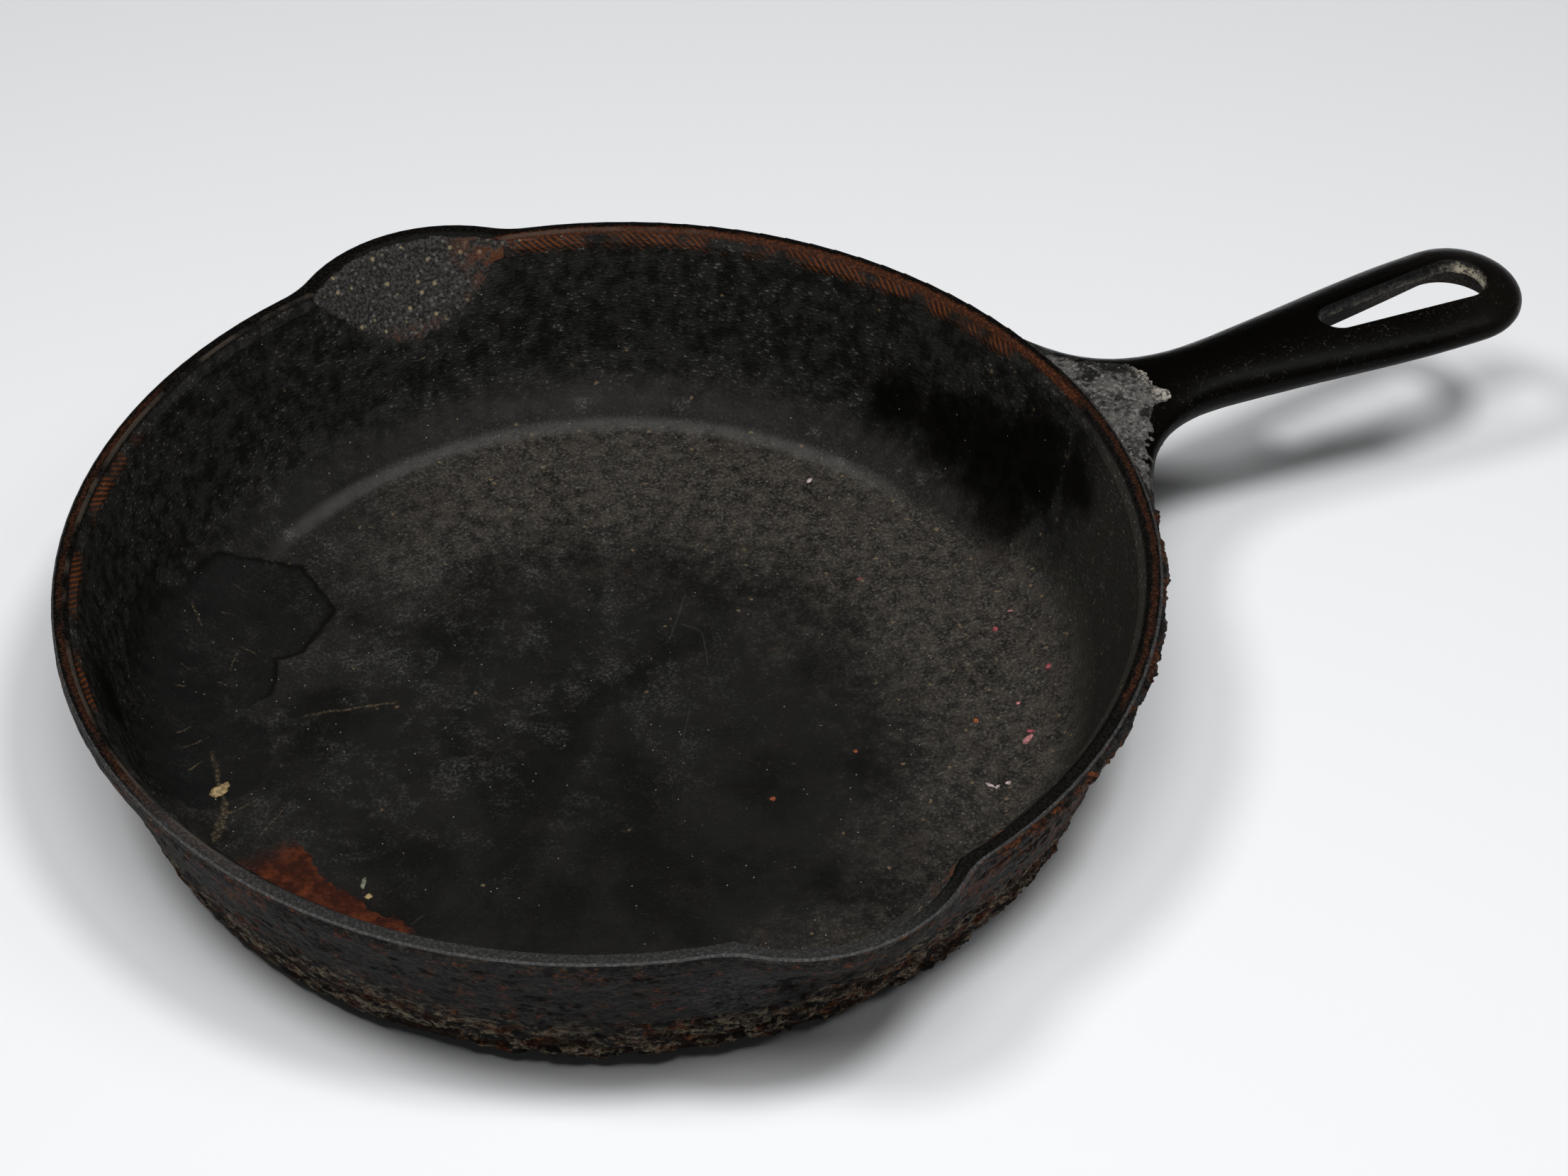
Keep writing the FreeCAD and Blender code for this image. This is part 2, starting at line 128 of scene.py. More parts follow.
class Look:
    """Builds one material's nodes. Each method returns a socket that others can take."""

    def __init__(self, name):
        self.material = bpy.data.materials.new(name)
        self.material.use_nodes = True
        self.shader = self.material.node_tree.nodes["Principled BSDF"]
        place = self.node("ShaderNodeTexCoord")
        self.place = self.scaled(place.outputs["Object"], 1 / MM)
        self.x, self.y, self.z = self.node("ShaderNodeSeparateXYZ", self.place).outputs
        self.normal = place.outputs["Normal"]
        self.radius = self.calc("SQRT", self.add(self.times(self.x, self.x), self.times(self.y, self.y)))
        self.angle = self.times(self.calc("ARCTAN2", self.y, self.x), math.degrees(1))

    def node(self, kind, *inputs, **settings):
        """Add a node, feed its first inputs in order and set its own settings."""
        made = self.material.node_tree.nodes.new(kind)
        for name, setting in settings.items():
            setattr(made, name, setting)
        for socket, given in zip(made.inputs, inputs):
            self.feed(socket, given)
        return made

    def feed(self, socket, given):
        """Link a socket to another, or set it to a plain value."""
        if isinstance(given, bpy.types.NodeSocket):
            self.material.node_tree.links.new(given, socket)
        elif socket.type == "RGBA" and len(given) == 3:
            socket.default_value = (*given, 1)
        else:
            socket.default_value = given

    def calc(self, operation, first, second=0.5):
        return self.node("ShaderNodeMath", first, second, operation=operation).outputs[0]

    def add(self, first, *others):
        for other in others:
            first = self.calc("ADD", first, other)
        return first

    def times(self, first, *others):
        for other in others:
            first = self.calc("MULTIPLY", first, other)
        return first

    def minus(self, first, second):
        return self.calc("SUBTRACT", first, second)

    def most(self, first, *others):
        for other in others:
            first = self.calc("MAXIMUM", first, other)
        return first

    def fade(self, value, start, end):
        """Go smoothly from 0 where value is start to 1 where it is end."""
        made = self.node("ShaderNodeMapRange", value, start, end, interpolation_type="SMOOTHSTEP")
        return made.outputs[0]

    def between(self, value, low, high, soft):
        """Be 1 between low and high, and fade to 0 over a soft distance outside."""
        return self.times(self.fade(value, low - soft, low), self.fade(value, high + soft, high))

    def scaled(self, vector, factor):
        made = self.node("ShaderNodeVectorMath", vector, operation="SCALE")
        made.inputs["Scale"].default_value = factor
        return made.outputs[0]

    def stretched(self, stretch, place=None):
        """Multiply a place by a stretch along each axis."""
        return self.node("ShaderNodeVectorMath", place or self.place, stretch, operation="MULTIPLY").outputs[0]

    def noise(self, size, detail=3.0, rough=0.5, place=None, warp=0.0):
        """Cloudy noise from 0 to 1 whose features are about size millimetres across."""
        made = self.node("ShaderNodeTexNoise")
        self.feed(made.inputs["Vector"], place or self.place)
        made.inputs["Scale"].default_value = 1 / size
        made.inputs["Detail"].default_value = detail
        made.inputs["Roughness"].default_value = rough
        made.inputs["Distortion"].default_value = warp
        return made.outputs[0]

    def cells(self, size, place=None):
        """Voronoi cells about size millimetres across: distance to the centre, and a random colour."""
        made = self.node("ShaderNodeTexVoronoi")
        self.feed(made.inputs["Vector"], place or self.place)
        made.inputs["Scale"].default_value = 1 / size
        return made.outputs["Distance"], made.outputs["Color"]

    def specks(self, size, share, spread, place=None, where=1.0):
        """Dots in a share of random cells; a mask thins them out."""
        distance, colour = self.cells(size, place)
        lot = self.node("ShaderNodeSeparateColor", colour).outputs[0]
        wanted = self.times(where, share)
        chosen = self.fade(lot, self.minus(1.0, wanted), self.minus(1.02, wanted))
        return self.times(chosen, self.fade(distance, spread, spread * 0.5))

    def bent(self, size, reach):
        """The place, shifted by up to reach millimetres of noise."""
        shift = self.node("ShaderNodeTexNoise")
        self.feed(shift.inputs["Vector"], self.place)
        shift.inputs["Scale"].default_value = 1 / size
        middle = (0.5, 0.5, 0.5)
        centred = self.node("ShaderNodeVectorMath", shift.outputs["Color"], middle, operation="SUBTRACT")
        moved = self.scaled(centred.outputs[0], 2 * reach)
        return self.node("ShaderNodeVectorMath", self.place, moved, operation="ADD").outputs[0]

    def near(self, place, centre, reach, soft):
        """Be 1 within reach of a centre, and fade to 0 over a soft distance."""
        apart = self.node("ShaderNodeVectorMath", place, centre, operation="DISTANCE").outputs["Value"]
        return self.fade(apart, reach + soft, reach)

    def mix(self, factor, first, second):
        """Blend two colours."""
        made = self.node("ShaderNodeMix", data_type="RGBA")
        self.feed(made.inputs[0], factor)
        self.feed(made.inputs[6], first)
        self.feed(made.inputs[7], second)
        return made.outputs[2]

    def mark(self, start, end, width):
        """A thin straight mark between two points given as (x, y)."""
        along = Vector(end) - Vector(start)
        centre = (Vector(start) + Vector(end)) / 2
        across_x = self.minus(self.x, centre.x)
        across_y = self.minus(self.y, centre.y)
        lean = along.normalized()
        run = self.add(self.times(across_x, lean.x), self.times(across_y, lean.y))
        side = self.minus(self.times(across_y, lean.x), self.times(across_x, lean.y))
        wobble = self.times(self.minus(self.noise(4.0), 0.5), width * 3)
        thin = self.fade(self.calc("ABSOLUTE", self.add(side, wobble)), width, width * 0.3)
        half = along.length / 2
        return self.times(thin, self.fade(self.calc("ABSOLUTE", run), half + 0.6, half - 1))

    def finish(self, colour, roughness, height, specular):
        """Feed the shader, with the bump height in millimetres."""
        self.shader.inputs["Specular IOR Level"].default_value = specular
        bump = self.node("ShaderNodeBump")
        bump.inputs["Strength"].default_value = 1.0
        bump.inputs["Distance"].default_value = MM
        self.feed(bump.inputs["Height"], height)
        self.feed(self.shader.inputs["Base Color"], colour)
        self.feed(self.shader.inputs["Roughness"], roughness)
        self.feed(self.shader.inputs["Normal"], bump.outputs[0])
        return self.material


def pan_zones(look):
    """Masks of the casting's regions, and how far its surface faces outward, from -1 to 1."""
    nx, ny, nz = look.node("ShaderNodeSeparateXYZ", look.normal).outputs
    outward = look.calc("DIVIDE", look.add(look.times(nx, look.x), look.times(ny, look.y)), look.radius)
    handle = look.fade(look.x, 133.0, 136.0)
    not_handle = look.minus(1.0, handle)
    rim = look.times(look.fade(look.z, 49.0, 49.8), not_handle)
    inner = look.times(look.most(look.fade(outward, -0.15, -0.4), look.fade(nz, 0.8, 0.95)), not_handle)
    inner = look.times(inner, look.fade(look.z, 50.2, 49.6))
    floor = look.times(inner, look.fade(look.z, 12.0, 4.6))
    return {"handle": handle, "rim": rim, "floor": floor, "outward": outward, "inner": inner}


def rust_comb(look):
    """Rust under the rim in three runs round the pan: how strong it is, and its slanted bright ticks."""
    wavy = look.times(look.minus(look.noise(9.0), 0.5), 2.2)
    slant = look.times(look.minus(RIM_HEIGHT, look.z), 1.4)
    around = look.add(look.times(look.angle, 2.3), slant, wavy)
    tooth = look.fade(look.calc("SINE", look.times(around, 3.1)), -0.2, 0.7)
    run = look.most(
        look.between(look.angle, 14.0, 76.0, 5.0),
        look.between(look.angle, 134.0, 160.0, 4.0),
        look.between(look.angle, 168.0, 176.0, 3.0),
    )
    torn = look.add(look.z, look.times(look.noise(2.4, 3.0, 0.6), 5.0))
    band = look.fade(torn, 48.8, 50.6)
    ticks = look.times(look.fade(torn, 47.8, 50.0), tooth)
    patchy = look.fade(look.noise(11.0, 3.0), 0.36, 0.55)
    inside = look.times(run, patchy, look.fade(look.radius, 130.8, 130.2))
    return look.times(look.most(look.times(band, 0.6), ticks), inside), look.times(ticks, inside)


def blots(look, place, centres, soft):
    """Be 1 within any of several reaches, each given as (centre, reach)."""
    return look.most(*[look.near(place, centre, reach, soft) for centre, reach in centres])


# Round blots as (centre, reach): the oil film, and where the wall is burnt
POOL = (((-70.0, 68.0, 4.0), 19.0), ((-90.0, 57.0, 6.0), 21.0), ((-101.0, 24.0, 8.0), 17.0))
BURNT = (((104.0, 52.0, 20.0), 5.0), ((112.0, 36.0, 20.0), 7.0), ((116.0, 22.0, 22.0), 9.0),
         ((115.0, 11.0, 13.0), 6.0), ((122.0, 6.0, 30.0), 9.0), ((122.0, -12.0, 37.0), 5.0),
         ((-118.0, 28.0, 30.0), 4.0))


def oil_pool(look):
    """The dark film over the left of the floor: the pool, and its scalloped outline toward the middle."""
    place = look.bent(14.0, 5.0)
    pool = blots(look, place, POOL, 1.4)
    core = blots(look, place, [(centre, reach - 1.6) for centre, reach in POOL], 2.0)
    toward_middle = look.fade(look.x, -86.0, -72.0)
    return pool, look.times(look.minus(pool, core), toward_middle)


def rust_patch(look):
    """The rust patch behind the near left rim, sharp on its inner side."""
    ragged = look.times(look.minus(look.noise(7.0, 4.0, 0.65), 0.5), 14.0)
    inner_edge = look.add(look.radius, ragged)
    arc = look.times(look.fade(look.angle, -174.0, -169.0), look.fade(look.angle, -144.0, -148.0))
    return look.times(arc, look.fade(inner_edge, 91.0, 92.0), look.fade(look.radius, 112.0, 104.0))


# Marks on the floor and the inner wall as (start, end, width)
SCRATCHES = (
    ((20.0, 11.0), (31.6, 25.1), 0.35),
    ((25.5, 15.6), (29.2, 10.8), 0.4),
    ((29.2, 10.8), (25.2, -1.8), 0.35),
    ((5.8, -26.1), (14.3, -13.5), 0.25),
    ((-36.0, 45.0), (-16.0, 51.0), 0.3),
    ((103.4, 20.1), (106.1, 7.6), 0.4),
    ((106.1, 7.6), (101.7, 3.3), 0.4),
    ((-75.4, -50.3), (-71.2, -48.7), 0.35),
)
TAN_STROKES = (
    ((-84.0, 74.0), (-84.1, 66.8), 0.45),
    ((-71.1, 79.0), (-69.6, 76.2), 0.35),
    ((-78.0, 71.1), (-75.2, 69.5), 0.35),
    ((-77.6, 57.4), (-74.9, 53.1), 0.4),
    ((-78.5, 56.1), (-83.0, 50.5), 0.3),
    ((-93.8, 55.8), (-91.6, 53.1), 0.4),
    ((-97.9, 49.0), (-94.8, 48.2), 0.35),
    ((-87.4, 47.8), (-84.9, 44.8), 0.35),
    ((-103.0, 33.0), (-99.0, 35.0), 0.3),
    ((-104.0, 28.0), (-96.0, 30.0), 0.3),
    ((-105.0, 20.0), (-100.0, 23.0), 0.3),
    ((-101.8, 2.8), (-93.7, 4.3), 0.45),
    ((-97.0, -7.4), (-88.1, -1.2), 0.3),
    ((-72.2, 26.6), (-49.8, 21.1), 0.6),
    ((-100.1, 7.5), (-107.5, -6.5), 1.3),
    ((-97.0, 25.0), (-100.6, 7.7), 0.9),
)


def floor_colour(look, grain, cloud, patch):
    """Colour of the floor, dark in the middle and dusty toward the far side and the right, and its dust."""
    dark_middle = (-20.0, -25.0, 4.0)
    apart = look.node("ShaderNodeVectorMath", look.place, dark_middle, operation="DISTANCE")
    from_middle = apart.outputs["Value"]
    spread = look.add(from_middle, look.times(cloud, 60.0), look.times(patch, 40.0))
    dust = look.fade(spread, 112.0, 162.0)
    left = look.fade(look.add(look.x, look.times(look.y, -0.55)), -45.0, -98.0)
    dust = look.times(dust, look.minus(1.0, look.times(left, 0.85)))
    beyond = look.fade(look.add(look.radius, look.times(patch, 10.0)), 107.0, 113.0)
    rear_cove = look.times(beyond, look.fade(look.y, -10.0, 20.0))
    dust = look.times(dust, look.minus(1.0, look.times(rear_cove, 0.75)))
    mottle = look.times(look.fade(patch, 0.36, 0.64), 0.46)
    mottled = look.times(dust, look.add(0.04, look.times(grain, 0.80), mottle))
    colour = look.mix(look.fade(cloud, 0.35, 0.6), FLOOR_IRON, WORN_FLOOR)
    colour = look.mix(mottled, colour, FLOOR_DUST)
    ruddy = look.fade(look.noise(13.0, 6.0, 0.7, warp=0.5), 0.52, 0.66)
    colour = look.mix(look.times(ruddy, look.add(0.1, grain), 0.6), colour, REDDISH)

    # Pale bloom in clumps left of the middle, and fuzzy stars where the floor turns up
    clumps = look.fade(look.noise(10.0, 6.0, 0.72, look.bent(25.0, 7.0)), 0.46, 0.70)
    bloom = look.times(clumps, look.near(look.place, (-38.0, 34.0, 4.0), 45.0, 60.0), 0.75)
    star_distance, star_colour = look.cells(9.5, look.bent(2.4, 2.6))
    star_lot = look.node("ShaderNodeSeparateColor", star_colour).outputs[1]
    star_arc = look.between(look.angle, -20.0, 140.0, 8.0)
    star_ring = look.times(look.between(look.radius, 102.0, 116.0, 4.0), star_arc)
    stars = look.times(look.fade(star_distance, 0.36, 0.05), look.fade(star_lot, 0.40, 0.50), star_ring, 1.5)
    pale = look.times(look.most(bloom, stars), look.add(0.08, look.times(grain, 0.9)), 0.75)
    colour = look.mix(pale, colour, PALE_BLOOM)

    # Painted highlight: a pale arc where the floor turns up into the rear wall
    rear_arc = look.between(look.angle, 30.0, 112.0, 16.0)
    cove_highlight = look.times(look.between(look.radius, 103.3, 104.3, 3.0), rear_arc)
    return look.mix(look.times(cove_highlight, look.add(0.18, look.times(patch, 0.40))), colour, PALE_BLOOM), dust


def crust_colour(look, low):
    """Colour of burnt crust that lies low from 0 to 1, and its fine grain and its flakes."""
    flat_place = look.stretched((0.8, 0.8, 1.4))
    fine = look.noise(1.0, 4.0, 0.75, flat_place)
    flakes = look.noise(3.4, 4.0, 0.7, flat_place)
    cloud = look.noise(9.0, 5.0, 0.68, flat_place)
    pocks = look.fade(look.noise(2.4, 3.0, 0.6, flat_place), 0.57, 0.64)
    stains = look.noise(6.0, 5.0, 0.72, look.stretched((0.9, 0.9, 1.4), look.bent(9.0, 3.0)))
    colour = look.mix(look.fade(cloud, 0.36, 0.64), CRUST_DARK, CRUST_GREY)
    colour = look.mix(look.times(look.fade(fine, 0.50, 0.68), 0.6), colour, CRUST_GLINT)
    tan = look.times(look.fade(flakes, 0.46, 0.57), look.add(0.06, low), 0.9)
    colour = look.mix(tan, colour, look.mix(look.fade(fine, 0.38, 0.58), FLAKE_DARK, FLAKE_TAN))
    under_band = look.between(look.z, 38.0, 45.0, 4.0)
    right = look.between(look.angle, -75.0, -20.0, 12.0)
    likely = look.add(stains, look.times(under_band, 0.035), look.times(right, 0.060))
    high_stains = look.times(look.fade(likely, 0.55, 0.62), 0.9)
    low_stains = look.times(look.fade(stains, 0.51, 0.59), low, 0.9)
    rusty = look.mix(look.fade(fine, 0.43, 0.60), STAIN_DARK, STAIN_RUST)
    colour = look.mix(look.most(high_stains, low_stains), colour, rusty)
    colour = look.mix(look.times(pocks, 0.75), colour, POCK_BROWN)
    return colour, fine, flakes


def iron_look():
    """Seasoned iron: dusty speckled floor, black pebbled wall, worn rim and glossy handle."""
    look = Look("seasoned_iron")
    zone = pan_zones(look)
    floor, handle, rim, inner = zone["floor"], zone["handle"], zone["rim"], zone["inner"]
    upper = look.times(inner, look.fade(look.z, 6.0, 15.0))
    cloud = look.noise(26.0, 4.0, 0.6)
    patch = look.noise(4.5, 5.0, 0.7)
    fine = look.noise(0.8, 3.0, 0.75)
    grain = look.fade(fine, 0.44, 0.66)
    colour, dust = floor_colour(look, grain, cloud, patch)

    # The wall is black with grey clouds, and gloss-black where it is burnt; the oil film is darker too
    burnt = look.times(blots(look, look.bent(10.0, 6.0), BURNT, 9.0), inner)
    wall_colour = look.mix(look.fade(patch, 0.38, 0.62), BLACK_IRON, CLOUDY_IRON)
    right_side = look.times(look.fade(look.angle, 2.0, -16.0), look.fade(look.angle, -75.0, -50.0))
    wall_colour = look.mix(look.times(right_side, 0.8), wall_colour, DUSTY_IRON)
    colour = look.mix(upper, colour, wall_colour)
    colour = look.mix(look.times(burnt, 0.85), colour, HANDLE_BLACK)
    pool, pool_rim = oil_pool(look)
    pool = look.times(pool, inner)
    colour = look.mix(look.times(pool, 0.6), colour, OIL_FILM)
    colour = look.mix(look.times(pool_rim, inner, 0.75), colour, HANDLE_BLACK)

    # Grit, drawn out sideways on the wall where it is partly painted glints, sparse tan grains and tiny
    # sparkles
    calm = look.minus(1.0, look.most(burnt, look.times(pool, 0.8)))
    flat_place = look.stretched((0.62, 0.62, 1.5))
    wall_fine = look.noise(0.95, 3.0, 0.65, flat_place)
    wall_dense = look.times(look.fade(patch, 0.40, 0.60), look.fade(cloud, 0.3, 0.55), calm)
    wall_grit_and_glints = look.times(look.fade(wall_fine, 0.58, 0.68), wall_dense, upper)
    floor_grit = look.times(look.fade(fine, 0.60, 0.72), floor, calm, look.add(0.15, dust))
    tan_specks = look.specks(2.4, 0.10, 0.26, look.bent(1.2, 0.8), look.add(0.2, dust))
    tan_grit = look.times(tan_specks, inner, calm)
    sparkles = look.times(look.specks(1.7, 0.12, 0.13), inner)
    colour = look.mix(look.times(floor_grit, 0.75), colour, GREY_GRIT)
    colour = look.mix(look.times(wall_grit_and_glints, 0.95), colour, GREY_GRIT)
    colour = look.mix(look.times(tan_grit, 0.6), colour, TAN_GRIT)
    colour = look.mix(look.times(sparkles, 0.7), colour, SPARKLE)

    # Marks: scratches, dried strokes, the rust patch and the rust under the rim
    scratches = look.most(*[look.mark(*line) for line in SCRATCHES])
    strokes = look.most(*[look.mark(*line) for line in TAN_STROKES])
    colour = look.mix(look.times(scratches, inner, 0.14), colour, PALE_BLOOM)
    colour = look.mix(look.times(strokes, inner, look.add(0.15, grain), 0.35), colour, TAN_GRIT)
    rusty = look.mix(look.fade(patch, 0.42, 0.70), PATCH_DARK, PATCH_RUST)
    colour = look.mix(look.times(rust_patch(look), inner, 0.93), colour, rusty)
    comb, ticks = rust_comb(look)
    colour = look.mix(look.times(comb, 0.9), colour, look.mix(ticks, DARK_RUST, RUST))

    # Rim: rust along its inner edge, black outside; the band's outside is crusted, with a painted highlight
    # along its upper outer edge
    ragged = look.add(look.radius, look.times(patch, 3.0))
    rusted = look.times(look.fade(ragged, 133.2, 132.2), look.between(look.angle, 2.0, 78.0, 4.0))
    left_side = look.most(look.between(look.angle, 128.0, 181.0, 8.0), look.fade(look.angle, -145.0, -160.0))
    left_side = look.times(left_side, look.fade(cloud, 0.35, 0.5))
    both_sides = look.most(look.between(look.angle, -48.0, 2.0, 4.0), left_side)
    line = look.times(look.between(ragged, 132.6, 133.4, 0.6), both_sides, 0.45)
    rim_colour = look.mix(look.times(grain, 0.5), HANDLE_BLACK, RIM_IRON)
    rim_rust = look.mix(grain, DARK_RUST, RUST)
    rim_colour = look.mix(look.times(look.most(rusted, line), 0.75), rim_colour, rim_rust)
    near_side = look.between(look.angle, -160.0, -92.0, 14.0)
    rim_colour = look.mix(look.times(near_side, look.add(0.35, look.times(grain, 0.5))), rim_colour, WORN_RIM)
    rear_left = look.most(look.between(look.angle, 60.0, 181.0, 10.0), look.fade(look.angle, -150.0, -160.0))
    edge = look.times(look.between(look.radius, 130.0, 130.6, 0.3), look.fade(cloud, 0.42, 0.55), rear_left)
    rim_colour = look.mix(look.times(edge, 0.5), rim_colour, TAN_RIM_EDGE)
    colour = look.mix(rim, colour, rim_colour)
    not_handle = look.minus(1.0, handle)
    outward = zone["outward"]
    outside = look.times(look.fade(outward, 0.3, 0.6), not_handle, look.fade(look.z, 50.3, 49.9))
    band_colour, _, flakes = crust_colour(look, 0.1)
    colour = look.mix(outside, colour, band_colour)
    # Painted highlight: a bright line where the band's rounded upper edge faces out
    painted_rim_highlight = look.times(look.between(outward, 0.3, 0.85, 0.15), look.fade(look.z, 48.9, 49.4), not_handle)
    colour = look.mix(look.times(painted_rim_highlight, look.add(0.25, look.times(grain, 0.4))), colour, PAINTED_RIM_HIGHLIGHT)

    # Handle: gloss black, with pale specks along its near side that are partly dust and partly painted glints,
    # browned at its end, and grey under the eye
    dust_and_glint_specks = look.times(look.fade(fine, 0.58, 0.68), look.fade(patch, 0.45, 0.58))
    handle_specks = look.times(dust_and_glint_specks, look.between(look.y, -15.0, -6.0, 4.0))
    browned = look.mix(look.fade(look.x, 225.0, 250.0), HANDLE_BLACK, BROWNED_HANDLE)
    colour = look.mix(handle, colour, look.mix(look.times(handle_specks, 0.28), browned, GREY_GRIT))
    toward_end = look.fade(look.x, 214.0, 232.0)
    under_eye = look.times(look.fade(look.z, 47.5, 46.5), toward_end, look.between(look.y, -14.0, 14.0, 0.5))
    colour = look.mix(look.times(under_eye, look.add(0.25, look.times(grain, 0.75))), colour, UNDER_EYE_GREY)

    # Roughness and relief
    inner_rough = look.add(0.48, look.times(grain, 0.10), look.times(dust, 0.14))
    roughness = look.minus(inner_rough, look.most(look.times(pool, 0.12), look.times(burnt, 0.16)))
    roughness = look.minus(roughness, look.times(handle, 0.30))
    pebbles = look.times(wall_fine, upper, calm, 0.45)
    flaked = look.times(flakes, outside, 0.8)
    height = look.add(look.times(fine, 0.14), look.times(patch, 0.25), pebbles, flaked)
    height = look.times(height, look.minus(1.0, look.times(handle, 0.9)))
    return look.finish(colour, roughness, height, IRON_SPECULAR)


def make_piece(name, points, faces, material, node):
    """Make a smooth mesh piece from points in millimetres, standing for a CAD node."""
    mesh = bpy.data.meshes.new(name)
    mesh.from_pydata([Vector(point) * MM for point in points], [], faces)
    mesh.shade_smooth()
    mesh.materials.append(material)
    piece = link(bpy.data.objects.new(name, mesh))
    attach(piece, "root")
    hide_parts(node)
    return piece


def store(piece, name, values):
    """Keep one number per vertex for the material to read."""
    layer = piece.data.attributes.new(name, "FLOAT", "POINT")
    layer.data.foreach_set("value", values)


def crust_ground(iron, turn, height):
    """Radius that the crust sits on: the casting's outside, without its handle."""
    if abs(turn) < HANDLE_SECTOR:
        wall = WALL_FOOT_RADIUS + WALL_FLARE * height
        return wall + (RIM_RADIUS - wall) * soft_step(height, 43.5, 46)
    out = Vector((math.cos(turn), math.sin(turn), 0))
    return iron.ray_cast(out * OUTSIDE_RADIUS + Vector((0, 0, height)), -out)[0].xy.length


def soft_step(value, low, high):
    """Go smoothly from 0 to 1 between low and high."""
    share = min(max((value - low) / (high - low), 0), 1)
    return share * share * (3 - 2 * share)


def layered(point, size, seed):
    """Noise from about -1 to 1, drawn out sideways like flaking layers."""
    return noise.fractal(Vector((point.x, point.y, point.z * 1.8)) / size + seed, 0.8, 2.1, 4)


CRUST_COLUMNS = 1300
CRUST_ROWS = 72
CRUST_TOP = 49.3
CRUST_FOOT = 0.3
CRUST_THICKNESS = 0.8
# The crust's hidden back from the foot to the top, as (height, depth inside the casting)
CRUST_BACK = ((0.5, 6.0), (8.0, 2.0), (24.0, 1.0), (41.0, 1.0), (48.5, 1.2))
SEED_SWELL = Vector((3.1, 7.7, 1.3))
SEED_FLAKE = Vector((11.9, 2.3, 5.1))
SEED_PIT = Vector((4.7, 13.1, 8.9))
SEED_CHIP = Vector((21.3, 6.1, 2.7))


def crust_relief(point, turn):
    """Height of the crust's skin above its ground, and how deep its pits and chips are, from 0 to 1."""
    swell = layered(point, 17.0, SEED_SWELL) * 0.5
    flake = layered(point, 6.0, SEED_FLAKE) * 2.6
    level = math.floor(flake)
    ledge = (level + soft_step(flake - level, 0.0, 0.25)) / 2.6
    pitted = soft_step(layered(point, 22.0, SEED_CHIP), -0.25, 0.25)
    pit = soft_step(layered(point, 3.0, SEED_PIT), 0.16, 0.45) * pitted
    side = math.degrees(turn)
    smooth = soft_step(point.z, 15, 24) * soft_step(abs(side + 95), 65, 30)
    right = soft_step(abs(side + 38), 42, 18)
    low = soft_step(point.z, 20, 11)
    chip = soft_step(layered(point, 7.0, SEED_CHIP), 0.08, 0.18) * low
    left = soft_step(abs(side + 60), 55, 90)
    upper = soft_step(point.z, 25, 40)
    strength = (1.0 - 0.4 * smooth + 0.6 * right * upper + 0.2 * low) * (1 - 0.5 * left)
    band = soft_step(point.z, 43, 46.5)
    thickness = CRUST_THICKNESS * (1 - 0.6 * left) * (1 - band) + band * (0.15 + 1.0 * right)
    relief = strength * (swell + ledge * 0.8 - pit * 0.9) - chip * 0.9
    return thickness + relief * (1 - 0.75 * band * (1 - right)), max(pit, chip)


def add_outer_wall_crust(material, iron):
    """The flaky burnt skin on the outer wall and band, as a closed ring with real relief."""
    points = []
    depths = []
    shade_below_hem_values = []
    for column in range(CRUST_COLUMNS):
        turn = 2 * math.pi * column / CRUST_COLUMNS - math.pi
        across = Vector((math.cos(turn), math.sin(turn), 0))
        front = soft_step(abs(math.degrees(turn) + 108), 56, 30)
        hem = 1.2 + 3.4 * front
        hem += 1.2 * noise.noise(across * 9 + SEED_FLAKE) + noise.noise(across * 34 + SEED_PIT)
        for row in range(CRUST_ROWS):
            share = row / (CRUST_ROWS - 1)
            height = CRUST_TOP + share * (CRUST_FOOT - CRUST_TOP)
            ground = crust_ground(iron, turn, height)
            thickness, depth = crust_relief(across * ground + Vector((0, 0, height)), turn)
            # Below the hem the skin thins to a skirt that the material paints near-black as shade under the
            # overhanging crust; the hidden back gets the same painted shade
            shade_below_hem = soft_step(height, hem + 0.3, hem - 0.3)
            thickness += (0.1 - thickness) * shade_below_hem
            ends = soft_step(share, 0, 0.02)
            lift = max(thickness, 0.05) * ends - 0.2 * (1 - ends)
            drop = lift * WALL_FLARE * (1 - shade_below_hem) * share
            points.append(across * (ground + lift) + Vector((0, 0, height - drop)))
            depths.append(depth)
            shade_below_hem_values.append(shade_below_hem)
        for height, depth_inside in CRUST_BACK:
            points.append(across * (crust_ground(iron, turn, height) - depth_inside) + Vector((0, 0, height)))
            depths.append(1.0)
            shade_below_hem_values.append(1.0)
    loop = CRUST_ROWS + len(CRUST_BACK)
    faces = []
    for column in range(CRUST_COLUMNS):
        here = column * loop
        beside = (column + 1) % CRUST_COLUMNS * loop
        for row in range(loop):
            below = (row + 1) % loop
            faces.append((here + row, here + below, beside + below, beside + row))
    piece = make_piece("outer_wall_crust_skin", points, faces, material, "outer_wall_crust")
    store(piece, "depth", depths)
    store(piece, "shade_below_hem", shade_below_hem_values)


